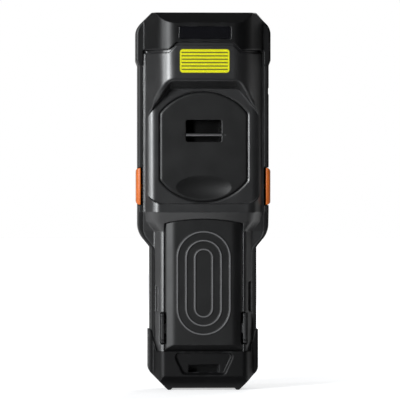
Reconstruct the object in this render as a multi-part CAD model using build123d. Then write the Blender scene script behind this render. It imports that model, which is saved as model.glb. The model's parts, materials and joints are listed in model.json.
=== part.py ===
"""Portable barcode data terminal: a rugged handheld with a deep scan head and a lift-out battery in its grip.

Frame: +Z runs up the terminal to its scan head, the rear (battery side) faces -Y, the screen faces +Y and
Z = 0 is the plane of the two feet under the bottom boot. All sizes are in millimetres.
"""
from build123d import *
import os
from math import atan2, radians, sqrt, tan

os.makedirs("parts", exist_ok=True)

# ---- Overall sizes ----
terminal_length = 228.0  # feet to top of the scan head
total_depth = 43.0  # rear of the head to the screen rim
body_width = 79.2  # over the side rails, beside the screen
grip_width = 64.6  # over the side rails, beside the keypad

# ---- Walls and clearances ----
wall = 2.2
rail_wall = 3.0
cap_wall = 2.6
cap_top_wall = 4.0
cap_proud = 0.6  # head cap and boot stand proud of the cases at front and rear
bumper_proud = 1.1  # corner bumpers of the head cap, beyond the rails
boot_proud = 1.05  # boot, beyond the rails
fit_gap = 0.3  # gap round a piece that lifts or swings out
button_gap = 0.25  # gap round a key or trigger
stop_gap = 0.1  # gap left at the end of a travel
post_radius = 1.6
bite = 0.1  # how far a joined form runs into its neighbour
over = 1.0  # how far a cut runs past a face

# ---- Depths, from the screen side ----
screen_rim = 1.2  # the rim stands this far proud of the front face
web_thick = 1.8  # front wall of the front case
front_case_depth = 12.5  # screen rim to the parting plane
rail_setback = 6.5  # screen rim to the front edge of the rails
floor_room = 1.4  # room between the floor of the battery bay and the parting plane

# ---- Depths, from the battery's rear face ----
shoulder_rise = 0.2  # case just above the battery
ridge_rise = 4.1  # finger ridge between the recess and the battery
bowl_rise = 0.5  # floor of the recess, flush with the grip cover
grip_edge_drop = 2.7  # rear edge of the case beside the battery
grip_flank_drop = 7.3  # foot of the grip flank
head_flank_drop = 3.5  # foot of the sloping flank of the head

# ---- Widths of the rear form ----
flank_inset = 4.2  # side of the body to the foot of the head's flank
flank_width = 10.9  # width of that flank, up to the rear face
flank_radius = 13.0
ridge_radius = 7.0
ledge_radius = 6.5  # rounding from the head's flank to the floor of the recess
shoulder_inset = 5.2
shoulder_width = 5.8
shoulder_radius = 5.0
grip_shelf_inset = 2.7
grip_flank_width = 4.6
grip_radius = 4.0

# ---- Waist, where the body narrows to the grip ----
waist_top = 95.4
waist_angle = 39.05  # lean of the sides at the waist, in degrees
waist_radius = 14.0
waist_foot_radius = 2.0
grip_rear_top = 96.0  # the rear of the grip keeps its section up to here
rail_edge = 1.0  # rounding of the rails' rear edge

# ---- Bottom boot ----
boot_side_top = 36.5
boot_rear_top = 23.4
boot_corner_z = 11.75
boot_corner_radius = 6.0
boot_arm_inset = 0.8  # inner edge of each boot arm at its top, from the side of the grip
boot_lip_inset = 3.7  # and where it meets the rear lip
boot_arm_radius = 1.2
boot_flank_inset = 2.1
boot_flank_width = 4.6
boot_edge_radius = 4.0
boot_edge = 1.2  # rounding of the boot's outer edges
boot_setback = 2.5  # screen rim to the front edge of the boot arms
boot_front_top = 12.0
boot_bevel_top = 8.6  # the rear face slopes forward below this height
boot_bevel_depth = 3.4
case_bottom = 20.0
foot_inset = 11.75  # side of the boot to the tip of a foot
foot_width = 1.6
foot_height = 1.2
foot_radius = 0.4
boot_dish_top = 22.6
boot_dish_bottom = 9.0
boot_dish_half_top = 19.1
boot_dish_half_bottom = 12.7
boot_dish_depth = 1.5
boot_dish_radius = 2.4
strap_slot_width = 18.4
strap_slot_bottom = 10.8
strap_slot_height = 4.6
strap_bar_depth = 5.1  # the boot's own strap bar, measured from its rear face
strap_channel = 4.6

# ---- Head cap, its heights measured down from the top ----
cap_corner_width = 9.1  # corner chamfer, along the top face
cap_corner_drop = 8.9  # and down the side
cap_corner_radius = 9.0
cap_top_radius = 1.5
cap_low_radius = 2.5
cap_edge = 1.0  # rounding of the cap's outer edges
cap_side_drop = 28.7
cap_rear_drop = 22.5
cap_rear_mid_drop = 18.0
cap_front_drop = 14.5
rail_top_drop = 31.7
cap_step_x = 21.5  # the rear edge of the cap steps up from here
cap_step_mid_x = 17.0
top_slope_depth = 7.0
top_slope_drop = 6.4
groove_height = 2.0
groove_depth = 1.2
case_corner_radius = 3.0
case_foot_radius = 1.0

# ---- Scan window, badge and label ----
window_width = 42.0
window_depth = 16.0
window_y = 1.0
window_thick = 2.0
window_sink = 1.0
window_ledge = 1.5
window_corner = 1.5
badge_width = 31.6
badge_height = 7.6
badge_corner = 1.0
badge_drop = 12.4
badge_thick = 0.8
badge_sink = 0.3
label_width = 30.3
label_height = 14.6
label_corner = 2.0
label_drop = 29.4
label_thick = 0.15

# ---- Grip cover ----
cover_radius = 33.2
cover_half = 26.4
cover_corner = 3.2
cover_thick = 2.4
cover_bevel_width = 0.9  # bevel round the cover's rear face
cover_bevel_depth = 0.42
cover_ledge = 2.6  # width of the ledge that the cover rests on
seat_bevel_width = 0.8  # bevel of the case round the cover
seat_bevel_depth = 0.4
bay_depth = 6.2
slot_width = 21.6
slot_corner = 1.2
slot_rise = 16.35  # upper edge of the strap slot, above the middle of the cover
slot_height = 13.3
pin_radius = 0.9
pin_rise = 7.35
pin_seat = 2.0  # how far each end of the strap pin sits in the cover
scoop_half_width = 16.8
scoop_half_height = 7.1
scoop_depth = 1.5
scoop_rise = 8.75  # middle of the finger scoop, above the lower edge of the cover
tongue_inner_x = 2.0  # the cover swings on two tongues hooked under the edge above it
tongue_outer_x = 6.0
tongue_reach = 2.0
tongue_thick = 1.0

# ---- Recess that the grip cover lies in ----
recess_side_inset = 0.4  # foot of the head's flank to the side of the recess, which is open there
recess_lower_margin = 1.35
recess_upper_margin = 6.95
recess_shoulder_drop = 17.2  # the recess is full width from here down
recess_top_half = 20.9
recess_wall_lean = 4.2  # the wall under the head comes in this far down to the level of the ridge
recess_foot_lean = 6.1  # and this far at its foot
recess_foot_rise = 0.6  # the wall along the ridge comes in this far at its foot
recess_top_radius = 5.0
recess_shoulder_radius = 13.0
recess_low_radius = 10.0
recess_edge = 2.0  # rounding of the rim under the head
ridge_height = 5.0
ridge_slope_height = 5.5
shoulder_drop = 1.2  # top of the pack to the foot of the ridge

# ---- Battery pack ----
battery_width = 47.0
battery_length = 79.5
battery_depth = 13.6
battery_arch = 2.6  # rise of the arched upper edge
battery_side_radius = 2.0
battery_crown_width = 5.0  # the rear face slopes away beside the pack's long edges
battery_crown_drop = 1.9
battery_crown_radius = 8.0
battery_bevel_height = 3.9
battery_bevel_depth = 2.6
ring_margin = 7.2  # side of the pack to the outer ring
ring_pitch = 5.3
ring_count = 3
ring_rise = 15.1  # straight part of each ring, above and below its middle
ring_drop = 38.5  # top of the pack to the middle of the rings
ring_width = 0.8
ring_height = 0.4
contact_count = 6
contact_pitch = 3.6
contact_drop = 9.2  # top of the pack to the row of contacts
contact_radius = 0.9
pad_thick = 0.4
pad_width = 2.4
pad_height = 4.0
cell_side_wall = 6.6
cell_end_wall = 6.3
cell_wall = 1.6
cell_corner = 2.0

# ---- Battery latches ----
latch_lap_inner = 0.9  # the latch slot lies across the side of the pack
latch_lap_outer = 2.8
latch_rise = 3.9  # lower end of the pack to the lower end of the latch slot
latch_length = 19.4
latch_corner = 0.8
latch_travel = 1.2
latch_gap = 0.2
latch_slot_depth = 6.5
latch_sink = 0.6
latch_step = 1.2
latch_end_gap = 0.6
latch_bar_low = 0.9
latch_bar_width = 1.3
latch_pad_low = 3.0
latch_pad_high = 2.4
latch_stem_length = 2.0
latch_stem_size = 3.0
latch_stem_depth = 4.0

# ---- Screen ----
glass_width = 64.0
glass_height = 98.0
glass_drop = 25.0  # top of the terminal to the upper edge of the glass
glass_corner = 3.0
glass_thick = 1.4
glass_sink = 0.6  # glass lies this far below the rim
glass_ledge = 2.0
glass_gap = 0.1
rim_width = 3.2
rim_chamfer = 0.8
bezel_chamfer = 1.0
bezel_corner = 3.0
display_thick = 3.5
display_gap = 0.2
display_corner = 1.0

# ---- Keypad ----
key_names = (
    ("key_star", "key_0", "key_hash", "key_enter"),
    ("key_7", "key_8", "key_9", "key_function"),
    ("key_4", "key_5", "key_6", "key_tab"),
    ("key_1", "key_2", "key_3", "key_escape"),
    ("key_back", "key_up", "key_down", "key_power"),
)
key_width = 11.0
key_height = 8.2
key_corner = 2.6
column_pitch = 13.2
row_pitch = 13.6
low_row_z = 24.6
scan_key_width = 24.0
scan_key_height = 10.4
side_key_width = 12.0
side_key_height = 7.4
side_key_gap = 3.6  # scan key to the key beside it
key_proud = 1.0
key_travel = 0.8
key_flange = 0.8
key_crown = 0.45
mat_thick = 2.9
board_thick = 1.2
board_gap = 0.6
keypad_room = 1.2  # top row of keys to the upper edge of the mat

# ---- Side triggers ----
trigger_bottom = 112.0
trigger_length = 22.4
trigger_height = 12.6
trigger_setback = 7.0  # front edge of the rail to the trigger
trigger_proud = 1.15
trigger_travel = 1.0
trigger_thick = 2.8
trigger_end_radius = 2.4
trigger_edge = 0.7
stem_size = 3.0
stem_setback = 3.0
stem_inset = 2.0  # side wall of the case to the end of the stem
switch_size = 5.5
switch_height = 8.0
switch_gap = 0.2

# ---- Small inner pieces ----
board_margin = 3.0
board_rise = 1.0  # parting plane to the main board
board_post_inset = 5.6
engine_width = 30.0
engine_height = 13.0
engine_depth = 13.0
engine_drop = 2.8
speaker_width = 18.0
speaker_height = 5.6
speaker_thick = 3.5
sound_slot_count = 5
sound_slot_pitch = 3.2
sound_slot_width = 1.0
sound_slot_height = 3.4
light_x = 26.0
light_radius = 1.1
light_length = 3.3
gasket_inset = 0.6
gasket_width = 1.0
screw_x = 14.0
screw_radius = 1.0
screw_bite = 1.6
screw_setback = 12.5  # rear face of the pack to the screws
screw_head_z = 3.0
screw_head_radius = 2.2
screw_head_thick = 1.6
detent_inset = 3.8  # side of the grip to the middle of a holster slot
detent_low = 47.6
detent_width = 2.6
detent_floor = 0.3  # floor of a slot to the foot of the grip flank
left_detent_length = 15.2
right_detent_length = 18.4

# ---- Ports ----
port_bottom = 150.4
port_length = 13.2
port_height = 9.0
port_setback = 5.5  # front edge of the rail to the port cover
flap_thick = 1.6
nail_notch = 3.0
nail_notch_depth = 1.0
mark_low = 178.9  # small notch in the right rail above the port
mark_length = 3.9
mark_depth = 0.7
plug_depth = 6.5
plug_rise = 6.0  # lower end of the port to the middle of its socket
plug_width = 9.2
plug_height = 3.4
plug_wall = 0.4
plug_tongue_width = 6.6
plug_tongue_thick = 0.7
charge_setback = 8.3  # screen rim to the charging socket
charge_length = 8.3
dock_setback = 3.7
dock_pad_width = 1.6
dock_pad_depth = 2.0
dock_pad_proud = 0.3

# ---- Values that follow from the sizes above ----
reach = 60.0  # further than any face of the terminal
head_width = body_width + 2 * bumper_proud
boot_width = grip_width + 2 * boot_proud
rear_y = -total_depth / 2
front_y = total_depth / 2
face_y = front_y - screen_rim
head_y = rear_y + cap_proud
split_y = front_y - front_case_depth
rail_front_y = front_y - rail_setback
web_back_y = face_y - web_thick

battery_floor_y = split_y - floor_room - wall
battery_front_y = battery_floor_y - fit_gap
battery_y = battery_front_y - battery_depth
shoulder_y = battery_y - shoulder_rise
ridge_y = battery_y - ridge_rise
bowl_y = battery_y - bowl_rise
grip_edge_y = battery_y + grip_edge_drop
grip_flank_y = battery_y + grip_flank_drop
flank_y = battery_y + head_flank_drop
boot_rear_y = battery_y - cap_proud

flank_top_x = body_width / 2 - flank_inset
flank_rear_x = flank_top_x - flank_width
flank_slope = flank_width / (flank_y - head_y)
waist_lean = radians(waist_angle)
waist_bottom = waist_top - (body_width - grip_width) / 2 / tan(waist_lean)
corner_lean = atan2(cap_corner_drop, cap_corner_width)
case_half = body_width / 2 - rail_wall
turret_top = terminal_length - cap_top_wall
turret_inset = cap_wall - cap_proud
cap_corner_z = terminal_length - cap_corner_drop
cap_front_edge = terminal_length - cap_front_drop
rail_top = terminal_length - rail_top_drop

battery_bottom = boot_rear_top + fit_gap
battery_top = battery_bottom + battery_length
battery_half = battery_width / 2
contact_z = battery_top - contact_drop
latch_bottom = battery_bottom + latch_rise
latch_top = latch_bottom + latch_length
latch_inner_x = battery_half - latch_lap_inner
latch_outer_x = battery_half + latch_lap_outer

shoulder_z = battery_top - shoulder_drop
ridge_low = shoulder_z + ridge_slope_height
recess_bottom = ridge_low + ridge_height
recess_half = flank_top_x - recess_side_inset
head_low = recess_bottom + recess_low_radius
cover_z = recess_bottom + recess_lower_margin + cover_radius
cover_top = cover_z + cover_radius
recess_top = cover_top + recess_upper_margin
pin_z = cover_z + pin_rise
scoop_z = cover_z - cover_radius + scoop_rise
cover_back_y = bowl_y + cover_thick
bay_floor_y = cover_back_y + bay_depth

glass_front_y = front_y - glass_sink
glass_back_y = glass_front_y - glass_thick
glass_z = terminal_length - glass_drop - glass_height / 2
speaker_z = (glass_z + glass_height / 2 + rim_width + cap_front_edge) / 2
main_board_y = split_y + board_rise
board_low = recess_bottom - board_margin

key_top_y = face_y + key_proud
flange_front_y = web_back_y - stop_gap
flange_back_y = flange_front_y - key_flange
mat_front_y = flange_back_y - key_travel - stop_gap
board_front_y = mat_front_y - mat_thick
top_row_z = low_row_z + row_pitch * len(key_names)
keypad_top = top_row_z + scan_key_height / 2 + keypad_room

trigger_top = trigger_bottom + trigger_length
trigger_z = trigger_bottom + trigger_length / 2
trigger_x = body_width / 2 + trigger_proud  # outer face of the right trigger
trigger_front_y = rail_front_y - trigger_setback
trigger_rear_y = trigger_front_y - trigger_height
stem_y = trigger_front_y - stem_setback
stem_end = case_half - stem_inset

port_top = port_bottom + port_length
port_front_y = rail_front_y - port_setback
port_rear_y = port_front_y - port_height
plug_y = (port_front_y + port_rear_y) / 2
plug_z = port_bottom + plug_rise
charge_y = front_y - charge_setback
dock_y = front_y - dock_setback
screw_y = battery_y + screw_setback


# ---- Small helpers ----
def closed(corners):
    """Closed face from corners (u, v, corner radius)."""
    points = [(u, v) for u, v, r in corners]
    radii = [r for u, v, r in corners]
    return make_face(FilletPolyline(*points, radius=radii, close=True))


def mirrored(half):
    """Closed face from corners on the +X side and their mirror images."""
    return closed(list(half) + [(-x, v, r) for x, v, r in reversed(half)])


def slab(face, y0, y1):
    """An X-Z outline made solid between the depths y0 and y1."""
    return extrude(Plane.XZ.offset(-y1) * face, amount=y1 - y0)


def column(face, z0, z1):
    """An X-Y section made solid between the heights z0 and z1."""
    return extrude(Plane.XY.offset(z0) * face, amount=z1 - z0)


def across(face, x0, x1):
    """A Y-Z profile made solid between x0 and x1."""
    return extrude(Plane.YZ.offset(x0) * face, amount=x1 - x0)


def block(x0, x1, y0, y1, z0, z1):
    """A box from its six limits."""
    middle = ((x0 + x1) / 2, (y0 + y1) / 2, (z0 + z1) / 2)
    return Pos(*middle) * Box(x1 - x0, y1 - y0, z1 - z0)


def rounded(x, z, width, height, radius, y0, y1):
    """A rounded rectangle in X-Z made solid between two depths."""
    return slab(Pos(x, z) * RectangleRounded(width, height, radius), y0, y1)


def oval(width, height):
    """A rectangle with fully rounded ends."""
    return RectangleRounded(width, height, min(width, height) / 2 - over / 20)


def post(x, z, radius, y0, y1):
    """A round post along Y."""
    return slab(Pos(x, z) * Circle(radius), y0, y1)


def rod(y, z, radius, x0, x1):
    """A round rod along X."""
    return across(Pos(y, z) * Circle(radius), x0, x1)


def band(low, high):
    """An X-Z area between two heights, wider than the terminal."""
    return Pos(0, (low + high) / 2) * Rectangle(2 * reach, high - low)


def both_sides(solid):
    """A solid and its mirror image in X."""
    return solid + mirror(solid, about=Plane.YZ)


def edges_on(body, skin, y0, y1):
    """Edges of a body that lie on the side walls of an upright form, between two depths."""
    walls = [face for face in skin.faces() if abs(face.normal_at().Y) < 0.1]
    found = []
    for edge in body.edges():
        middle = edge @ 0.5
        if y0 < middle.Y < y1 and min(face.distance_to(Vertex(*middle)) for face in walls) < 0.01:
            found.append(edge)
    return found


# ---- Outlines and sections ----
def body_outline(inset, bottom, top, corner=0):
    """Front-view outline over the rails: wide beside the screen, narrow at the grip."""
    shift = inset * tan(waist_lean / 2)
    wide = body_width / 2 - inset
    narrow = grip_width / 2 - inset
    return mirrored([
        (wide, top, 0),
        (wide, waist_top - shift, waist_radius - inset),
        (narrow, waist_bottom - shift, waist_foot_radius + inset),
        (narrow, bottom, corner),
    ])


def case_outline(inset, bottom):
    """Front-view outline of the two cases, inside the rails, the cap and the boot."""
    total = rail_wall + inset
    shift = total * tan(waist_lean / 2)
    wide = body_width / 2 - total
    narrow = grip_width / 2 - total
    corner_shift = (total + bumper_proud) * tan(corner_lean / 2)
    return mirrored([
        (head_width / 2 - cap_corner_width - corner_shift, turret_top - inset, 0),
        (wide, cap_corner_z - corner_shift, case_corner_radius),
        (wide, waist_top - shift, waist_radius - total),
        (narrow, waist_bottom - shift, waist_foot_radius + total),
        (narrow, bottom + inset, case_foot_radius),
    ])


def cap_outline():
    """Front-view outline of the head cap with its chamfered corners."""
    return mirrored([
        (head_width / 2 - cap_corner_width, terminal_length, cap_top_radius),
        (head_width / 2, cap_corner_z, cap_corner_radius),
        (head_width / 2, terminal_length - cap_side_drop, cap_low_radius),
        (body_width / 2, rail_top, 0),
    ])


def cap_region(drop=0):
    """Space that belongs to the head cap: its edge steps up across the rear and the front, less any drop."""
    rear_edge = terminal_length - cap_rear_drop - drop
    rear = mirrored([
        (reach, terminal_length + over, 0),
        (reach, rail_top, 0),
        (case_half, rail_top, 0),
        (case_half, rear_edge, 0),
        (cap_step_x, rear_edge, 0),
        (cap_step_mid_x, terminal_length - cap_rear_mid_drop - drop, 0),
    ])
    front = mirrored([
        (reach, terminal_length + over, 0),
        (reach, rail_top, 0),
        (case_half, rail_top, 0),
        (case_half, cap_front_edge, 0),
    ])
    return slab(rear, -reach, split_y) + slab(front, split_y, reach)


def boot_region():
    """Space that belongs to the bottom boot: two arms up the sides and a lip across the rear."""
    side = grip_width / 2
    return slab(mirrored([
        (reach, -over, 0),
        (reach, boot_side_top, 0),
        (side - boot_arm_inset, boot_side_top, boot_arm_radius),
        (side - boot_lip_inset, boot_rear_top, 0),
    ]), -reach, reach)


def head_section(inset, rear, front):
    """Cut across the head: flat rear face, rounded corners and sloping flanks."""
    return mirrored([
        (reach, front, 0),
        (reach, flank_y + inset, 0),
        (flank_top_x - inset, flank_y + inset, 0),
        (flank_rear_x - inset / 2, rear, flank_radius - inset),
    ])


def lower_section(foot_x, foot, edge_x, edge, radius):
    """Cut across the case below the head, from the foot of its flank to its rear edge."""
    return mirrored([(reach, face_y, 0), (reach, foot, 0), (foot_x, foot, 0), (edge_x, edge, radius)])


def flank_section(edge, radius):
    """Cut across the case where its flanks run on from the head, up to a rear face of their own."""
    return lower_section(flank_top_x, flank_y, flank_top_x - (flank_y - edge) * flank_slope, edge, radius)


def top_slope(shift):
    """Wedge cut off the top rear corner of the head, lowered by a shift."""
    rise = top_slope_drop / top_slope_depth
    low = terminal_length - shift - top_slope_drop
    middle = low - rear_y * rise
    profile = closed([(-reach, low - (reach + rear_y) * rise, 0), (0, middle, 0), (-reach, middle, 0)])
    return across(profile, -reach, reach)


def envelope():
    """Outer form of cases and rails together, before anything is cut."""
    shoulder_x = case_half - shoulder_inset + rail_wall
    grip_x = grip_width / 2 - grip_shelf_inset
    ridge = flank_section(ridge_y, ridge_radius)
    shoulder_foot = (flank_y + grip_flank_y) / 2
    shoulder = lower_section(shoulder_x, shoulder_foot, shoulder_x - shoulder_width, shoulder_y,
                             shoulder_radius)
    grip = lower_section(grip_x, grip_flank_y, grip_x - grip_flank_width, grip_edge_y, grip_radius)
    head = column(head_section(0, head_y, face_y), head_low, terminal_length)
    levels = [(ridge, ridge_low), (shoulder, shoulder_z), (grip, grip_rear_top)]
    slope = loft([Plane.XY.offset(z) * face for face, z in levels], ruled=True)
    return head + column(ridge, ridge_low, head_low) + slope + column(grip, 0, grip_rear_top)


def turret():
    """The cases' own head, which fills the head cap."""
    section = head_section(turret_inset, head_y + turret_inset, front_y - cap_wall)
    body = column(section, rail_top, turret_top) & slab(case_outline(0, 0), -reach, reach)
    return body - top_slope(cap_top_wall)


# ---- Recess, grip cover and strap pin ----
def recess_face(drop, rise):
    """Outline of the rear recess: narrow at the top, past the flanks from its shoulder down."""
    return mirrored([
        (recess_top_half, recess_top - drop, recess_top_radius),
        (recess_half, recess_top - recess_shoulder_drop - drop, recess_shoulder_radius),
        (recess_half, recess_bottom + rise, recess_low_radius),
    ])


def recess_cutter():
    """The recess that the grip cover lies in: walls under the head and along the ridge, a rounded floor."""
    mouth = Plane.XZ.offset(-rear_y) * recess_face(0, 0)
    middle = Plane.XZ.offset(-ridge_y) * recess_face(recess_wall_lean, 0)
    foot = Plane.XZ.offset(-flank_y) * recess_face(recess_foot_lean, recess_foot_rise)
    outer = slab(recess_face(0, 0), -reach, rear_y)
    walls = outer + loft([mouth, middle], ruled=True) + loft([middle, foot], ruled=True)
    return walls - column(flank_section(bowl_y, ledge_radius), 0, terminal_length)


def recess_rim(body, cutter):
    """Edges where the wall under the head meets the outer form, down to the level of the ridge."""
    skin = envelope().faces()
    bowl = cutter.faces()
    rim = []
    for edge in body.edges():
        middle = Vertex(*(edge @ 0.5))
        box = edge.bounding_box()
        if box.min.Z > cover_z and box.max.Y < ridge_y + bite:
            outside = min(face.distance_to(middle) for face in skin) < 0.01
            if outside and min(face.distance_to(middle) for face in bowl) < 0.01:
                rim.append(edge)
    return rim


def cover_face(inset):
    """A disc cut off by two upright sides, with rounded corners."""
    disc = Pos(0, cover_z) * Circle(cover_radius - inset)
    sides = Pos(0, cover_z) * Rectangle(2 * (cover_half - inset), 3 * cover_radius)
    shape = disc & sides
    return fillet(shape.vertices(), cover_corner)


def grip_cover():
    """Lid over the grip contacts, with a strap slot, a finger scoop and two tongues at its top edge."""
    bevel_y = bowl_y + cover_bevel_depth
    lid = slab(cover_face(0), bevel_y, cover_back_y)
    lid += loft([Plane.XZ.offset(-bowl_y) * cover_face(cover_bevel_width),
                 Plane.XZ.offset(-bevel_y) * cover_face(0)], ruled=True)
    slot_z = cover_z + slot_rise - slot_height / 2
    lid -= rounded(0, slot_z, slot_width, slot_height, slot_corner, bowl_y - over, cover_back_y + over)
    lid -= strap_pin()
    scoop_radius = (scoop_half_height ** 2 + scoop_depth ** 2) / (2 * scoop_depth)
    scoop = scale(Sphere(scoop_radius), by=(scoop_half_width / scoop_half_height, 1, 1))
    lid -= Pos(0, bowl_y - scoop_radius + scoop_depth, scoop_z) * scoop
    tongue = block(tongue_inner_x, tongue_outer_x, cover_back_y - tongue_thick, cover_back_y,
                   cover_top - 3 * tongue_reach, cover_top + tongue_reach)
    return lid + both_sides(tongue)


def strap_pin():
    """Pin across the slot of the grip cover that a strap hook closes on."""
    pin_half = slot_width / 2 + pin_seat
    return rod(bowl_y + cover_thick / 2, pin_z, pin_radius, -pin_half, pin_half)


def cover_bay():
    """Seat of the grip cover in the rear case, the pocket for its tongues and the bay behind it."""
    seat = slab(cover_face(-fit_gap), bowl_y - over, cover_back_y)
    seat += loft([Plane.XZ.offset(-bowl_y) * cover_face(-fit_gap - seat_bevel_width),
                  Plane.XZ.offset(-bowl_y - seat_bevel_depth) * cover_face(-fit_gap)], ruled=True)
    bay = slab(cover_face(cover_ledge), cover_back_y - bite, bay_floor_y)
    swing = sqrt(cover_thick ** 2 + tongue_reach ** 2) + fit_gap
    pocket = block(-tongue_outer_x - fit_gap, tongue_outer_x + fit_gap,
                   cover_back_y - tongue_thick - fit_gap, bowl_y + swing,
                   cover_top - 3 * tongue_reach, cover_top + tongue_reach + fit_gap)
    return seat + bay + pocket


def grip_contacts():
    """Contact pins in the floor of the bay."""
    z = cover_z - pin_rise
    return [post(x, z, contact_radius, bay_floor_y - over / 2, bay_floor_y + over) for x in contact_places()]


# ---- Battery pack ----
def contact_places():
    """Places of a row of contacts across X."""
    return [contact_pitch * (index - (contact_count - 1) / 2) for index in range(contact_count)]


def battery_face(inset):
    """Front-view outline of the battery pack: straight sides and an arched top."""
    half = battery_half - inset
    side = battery_top - battery_arch - inset
    low = battery_bottom + inset
    arch = ThreePointArc((half, side), (0, battery_top - inset), (-half, side))
    sides = Polyline((-half, side), (-half, low), (half, low), (half, side))
    return make_face(arch + sides)


def latch_slot():
    """Slot across the seam between pack and case that the +X latch moves in."""
    middle_x = (latch_inner_x + latch_outer_x) / 2
    middle_z = (latch_bottom + latch_top) / 2
    width = latch_outer_x - latch_inner_x
    floor_y = battery_y + latch_slot_depth
    return rounded(middle_x, middle_z, width, latch_length, latch_corner, -reach, floor_y)


def latch_stem(gap, travel):
    """Guide stem of the +X latch, and with a gap the hole that it runs in."""
    half = latch_stem_size / 2 + gap
    y = battery_y + latch_stem_depth
    z = (latch_bottom + latch_top) / 2
    inner = latch_inner_x - latch_stem_length - travel
    return block(inner, latch_inner_x + latch_stem_length, y - half, y + half, z - 2 * half, z + 2 * half)


def battery_pads():
    """Gold pads let into the inner face of the pack."""
    low = contact_z - pad_height / 2
    return [block(x - pad_width / 2, x + pad_width / 2, battery_front_y - pad_thick, battery_front_y,
                  low, low + pad_height) for x in contact_places()]


def battery_terminals():
    """Spring terminals in the floor of the battery bay, just short of the pads."""
    y0 = battery_front_y + stop_gap
    return [post(x, contact_z, contact_radius, y0, battery_floor_y + over) for x in contact_places()]


def battery_cell():
    """Flat cell inside the pack."""
    low = battery_bottom + cell_end_wall
    high = contact_z + pad_height / 2 - cell_end_wall
    width = battery_width - 2 * cell_side_wall
    return rounded(0, (low + high) / 2, width, high - low, cell_corner, battery_y + cell_wall,
                   battery_front_y - cell_wall)


def battery_case():
    """Moulded shell of the battery pack with raised rings on its rear face."""
    section = mirrored([
        (battery_half, battery_front_y, 0),
        (battery_half, battery_y + battery_crown_drop, battery_side_radius),
        (battery_half - battery_crown_width, battery_y, battery_crown_radius),
    ])
    shell = column(section, 0, battery_top + over) & slab(battery_face(0), battery_y, battery_front_y)
    bevel = closed([
        (battery_y - over, battery_bottom - over, 0),
        (battery_y + battery_bevel_depth, battery_bottom - over, 0),
        (battery_y + battery_bevel_depth, battery_bottom, 0),
        (battery_y - bite, battery_bottom + battery_bevel_height, 0),
        (battery_y - over, battery_bottom + battery_bevel_height, 0),
    ])
    shell -= across(bevel, -reach, reach)
    ring_z = battery_top - ring_drop
    for index in range(ring_count):
        width = battery_width - 2 * ring_margin - 2 * index * ring_pitch
        outer = RectangleRounded(width, width + 2 * ring_rise, width / 2 - bite)
        inner = RectangleRounded(width - 2 * ring_width, width - 2 * ring_width + 2 * ring_rise,
                                 width / 2 - ring_width - bite)
        shell += slab(Pos(0, ring_z) * (outer - inner), battery_y - ring_height, battery_y + bite)
    shell -= both_sides(latch_slot())
    shell -= both_sides(latch_stem(latch_gap, latch_travel + latch_gap))
    shell -= battery_pads()
    return shell - battery_cell()


def battery_latch():
    """Latch on the +X side: a thumb tab on a guide stem, pushed towards the middle to let go."""
    x0 = latch_inner_x + latch_travel + latch_gap
    x1 = latch_outer_x - fit_gap
    y0 = battery_y + latch_sink
    y1 = battery_y + latch_slot_depth - fit_gap
    bar_low = latch_bottom + latch_bar_low
    tab = block(x0, x1, y0 + latch_step, y1, latch_bottom + latch_end_gap, latch_top - latch_end_gap)
    tab += block(x0, x1, y0, y1, latch_bottom + latch_pad_low, latch_top - latch_pad_high)
    tab += block(x0, x1, y0, y1, bar_low, bar_low + latch_bar_width)
    return tab + latch_stem(0, 0)


# ---- Keypad ----
def key_places():
    """Name, X, Z, width and height of each key. The screen side looks along -Y, so +X is on its left."""
    side_x = scan_key_width / 2 + side_key_gap + side_key_width / 2
    keys = [
        ("key_soft_left", side_x, top_row_z, side_key_width, side_key_height),
        ("key_scan", 0, top_row_z, scan_key_width, scan_key_height),
        ("key_soft_right", -side_x, top_row_z, side_key_width, side_key_height),
    ]
    for row, names in enumerate(key_names):
        for place, name in enumerate(names):
            x = column_pitch * ((len(names) - 1) / 2 - place)
            keys.append((name, x, low_row_z + row * row_pitch, key_width, key_height))
    return keys


def key(x, z, width, height):
    """One key: a chamfered top in the key web and a flange below it that rests near the mat."""
    top = rounded(x, z, width, height, key_corner, flange_front_y - bite, key_top_y)
    top = chamfer(top.faces().sort_by(Axis.Y)[-1].edges(), key_crown)
    return top + rounded(x, z, width + 2 * key_flange, height + 2 * key_flange, key_corner,
                         flange_back_y, flange_front_y)


def key_holes():
    """Holes for all keys in the web of the front case."""
    gap = button_gap
    return [rounded(x, z, width + 2 * gap, height + 2 * gap, key_corner + gap, web_back_y - over,
                    face_y + over) for name, x, z, width, height in key_places()]


def keypad_posts(radius, y0, y1):
    """Posts between the keys that hold the keypad board."""
    x = 1.5 * column_pitch + key_width / 2 - key_flange
    heights = (low_row_z + row_pitch / 2, low_row_z + row_pitch * (len(key_names) - 1.5))
    return [post(side * x, z, radius, y0, y1) for side in (1, -1) for z in heights]


def keypad_sheet(y0, y1):
    """Outline of the keypad board and its mat, made solid."""
    low = boot_front_top + wall + over
    return slab(case_outline(wall + board_gap, low) & band(low, keypad_top), y0, y1)


def key_mat():
    """Rubber mat under the keys."""
    posts = keypad_posts(post_radius + 2 * bite, board_front_y - over, mat_front_y + over)
    return keypad_sheet(board_front_y, mat_front_y) - posts


# ---- Head: inner pieces ----
def main_board():
    """Circuit board behind the screen."""
    area = case_outline(wall + board_gap, 0) & band(board_low, cap_front_edge)
    return slab(area, main_board_y, main_board_y + board_thick)


def main_board_posts():
    """Posts of the rear case that carry the main board."""
    x = case_half - board_post_inset
    y0 = bay_floor_y + wall - bite
    heights = (recess_bottom + over, recess_top - board_margin)
    return [post(side * x, z, post_radius, y0, main_board_y) for side in (1, -1) for z in heights]


def scan_engine():
    """Scan engine under its window."""
    low = turret_top - wall - engine_drop - engine_height
    return block(-engine_width / 2, engine_width / 2, main_board_y - engine_depth, main_board_y,
                 low, low + engine_height)


def display_glass():
    """Cover glass of the screen."""
    return rounded(0, glass_z, glass_width, glass_height, glass_corner, glass_back_y, glass_front_y)


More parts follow.
